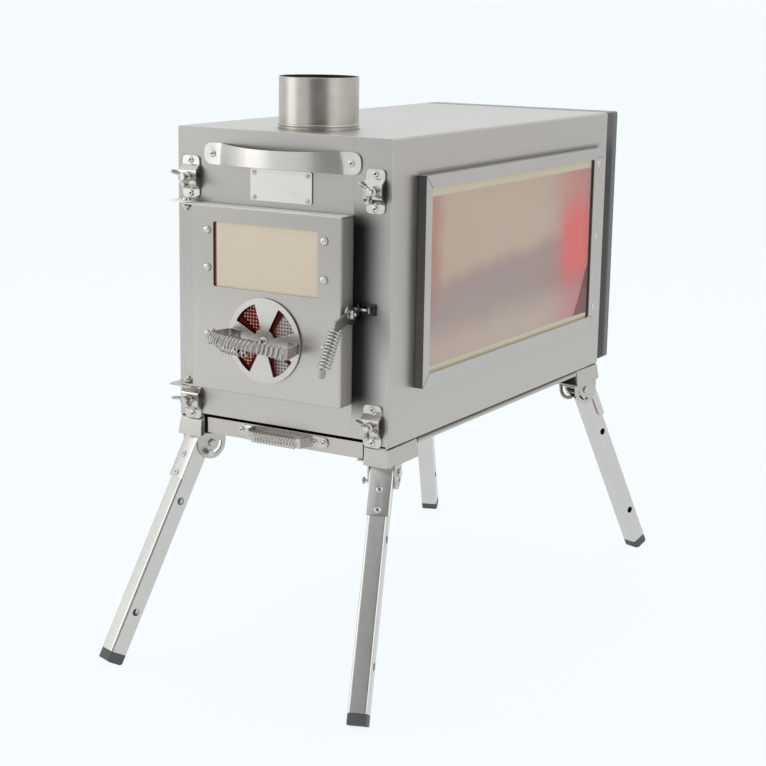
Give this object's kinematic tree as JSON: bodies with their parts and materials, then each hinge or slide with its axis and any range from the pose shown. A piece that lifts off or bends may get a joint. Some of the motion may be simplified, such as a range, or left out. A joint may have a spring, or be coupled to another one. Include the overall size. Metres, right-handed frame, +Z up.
{
  "type": "tent wood stove",
  "caption": "Folding-leg stainless wood stove with a glazed door, rotary air vent, side windows, ash tray, flue collar and clamp brackets.",
  "frame": {"origin": "on the ground under the middle of the firebox, at the centre of the standing footprint", "axes": "+Z up, -Y towards the door, +X to the right of someone facing the door"},
  "size_m": [0.3238, 0.6974, 0.6],
  "materials": {
    "sheet_steel": "satin brushed stainless sheet",
    "bright_steel": "bright stainless",
    "leg_steel": "satin stainless tube",
    "grate_steel": "heat-darkened stainless",
    "stove_glass": "clear heat-proof glass",
    "cap_plastic": "matte grey plastic"
  },
  "bodies": {
    "stove": {"body_shell": "sheet_steel", "front_panel": "sheet_steel", "rear_cover": "sheet_steel", "floor_pan": "sheet_steel", "smoke_baffle": "sheet_steel", "window_frame_right": "sheet_steel", "window_frame_left": "sheet_steel", "glass_strip_right": "sheet_steel", "glass_strip_left": "sheet_steel", "carry_handle": "sheet_steel", "corner_gusset_right_front": "sheet_steel", "corner_gusset_left_front": "sheet_steel", "corner_gusset_right_rear": "sheet_steel", "corner_gusset_left_rear": "sheet_steel", "flue_collar": "bright_steel", "name_plate": "bright_steel", "hinge_bolt_upper": "bright_steel", "hinge_bolt_lower": "bright_steel", "latch_keeper": "bright_steel", "clamp_bracket_upper_left": "bright_steel", "clamp_bracket_upper_right": "bright_steel", "clamp_bracket_lower_left": "bright_steel", "clamp_bracket_lower_right": "bright_steel", "leg_pivot_right_front": "bright_steel", "leg_pivot_left_front": "bright_steel", "leg_pivot_right_rear": "bright_steel", "leg_pivot_left_rear": "bright_steel", "fire_grate": "grate_steel", "window_glass_right": "stove_glass", "window_glass_left": "stove_glass"},
    "door": {"door_shell": "sheet_steel", "door_glass": "stove_glass", "door_glass_retainer": "sheet_steel", "spark_screen": "grate_steel", "vent_rivet": "bright_steel", "latch_bolt": "bright_steel"},
    "latch": {"latch_lever": "sheet_steel", "latch_spring": "bright_steel"},
    "vent": {"vent_disc": "sheet_steel", "vent_handle": "sheet_steel", "vent_spring": "bright_steel"},
    "tray": {"ash_tray": "sheet_steel", "tray_handle": "sheet_steel", "tray_spring": "bright_steel"},
    "leg_right_front": {"leg_yoke_right_front": "leg_steel", "leg_tube_right_front": "leg_steel", "leg_foot_right_front": "cap_plastic"},
    "leg_left_front": {"leg_yoke_left_front": "leg_steel", "leg_tube_left_front": "leg_steel", "leg_foot_left_front": "cap_plastic"},
    "leg_right_rear": {"leg_yoke_right_rear": "leg_steel", "leg_tube_right_rear": "leg_steel", "leg_foot_right_rear": "cap_plastic"},
    "leg_left_rear": {"leg_yoke_left_rear": "leg_steel", "leg_tube_left_rear": "leg_steel", "leg_foot_left_rear": "cap_plastic"},
    "screw_upper_left": {"wing_screw_upper_left": "bright_steel"},
    "screw_upper_right": {"wing_screw_upper_right": "bright_steel"},
    "screw_lower_left": {"wing_screw_lower_left": "bright_steel"},
    "screw_lower_right": {"wing_screw_lower_right": "bright_steel"}
  },
  "joints": [
    {"name": "door_hinge", "type": "hinge", "parent": "stove", "child": "door", "pos_m": [-0.106, -0.2595, 0.3815], "axis": [0, 0, -1], "range_deg": [0, 110]},
    {"name": "latch_pivot", "type": "hinge", "parent": "door", "child": "latch", "pos_m": [0.08875, -0.2598, 0.3811], "axis": [-1, 0, 0], "range_deg": [0, 60]},
    {"name": "vent_turn", "type": "hinge", "parent": "door", "child": "vent", "pos_m": [-0.0045, -0.2685, 0.346], "axis": [0, 1, 0], "range_deg": [-35, 10]},
    {"name": "tray_slide", "type": "slide", "parent": "stove", "child": "tray", "axis": [0, -1, 0], "range_m": [0, 0.33]},
    {"name": "leg_fold_right_front", "type": "hinge", "parent": "stove", "child": "leg_right_front", "pos_m": [0.10987, -0.22718, 0.221], "axis": [0.9397, 0.342, 0], "range_deg": [0, 117]},
    {"name": "leg_fold_left_front", "type": "hinge", "parent": "stove", "child": "leg_left_front", "pos_m": [-0.10987, -0.22718, 0.221], "axis": [0.9397, -0.342, 0], "range_deg": [0, 117]},
    {"name": "leg_fold_left_rear", "type": "hinge", "parent": "stove", "child": "leg_left_rear", "pos_m": [-0.10987, 0.22718, 0.221], "axis": [-0.9397, -0.342, 0], "range_deg": [0, 110]},
    {"name": "leg_fold_right_rear", "type": "hinge", "parent": "stove", "child": "leg_right_rear", "pos_m": [0.10987, 0.22718, 0.221], "axis": [-0.9397, 0.342, 0], "range_deg": [0, 110]},
    {"name": "screw_turn_upper_left", "type": "hinge", "parent": "stove", "child": "screw_upper_left", "pos_m": [-0.108, -0.2475, 0.499], "axis": [0, 1, 0], "continuous": true},
    {"name": "screw_turn_upper_right", "type": "hinge", "parent": "stove", "child": "screw_upper_right", "pos_m": [0.108, -0.2475, 0.499], "axis": [0, 1, 0], "continuous": true},
    {"name": "screw_turn_lower_left", "type": "hinge", "parent": "stove", "child": "screw_lower_left", "pos_m": [-0.108, -0.2475, 0.271], "axis": [0, 1, 0], "continuous": true},
    {"name": "screw_turn_lower_right", "type": "hinge", "parent": "stove", "child": "screw_lower_right", "pos_m": [0.108, -0.2475, 0.271], "axis": [0, 1, 0], "continuous": true}
  ]
}
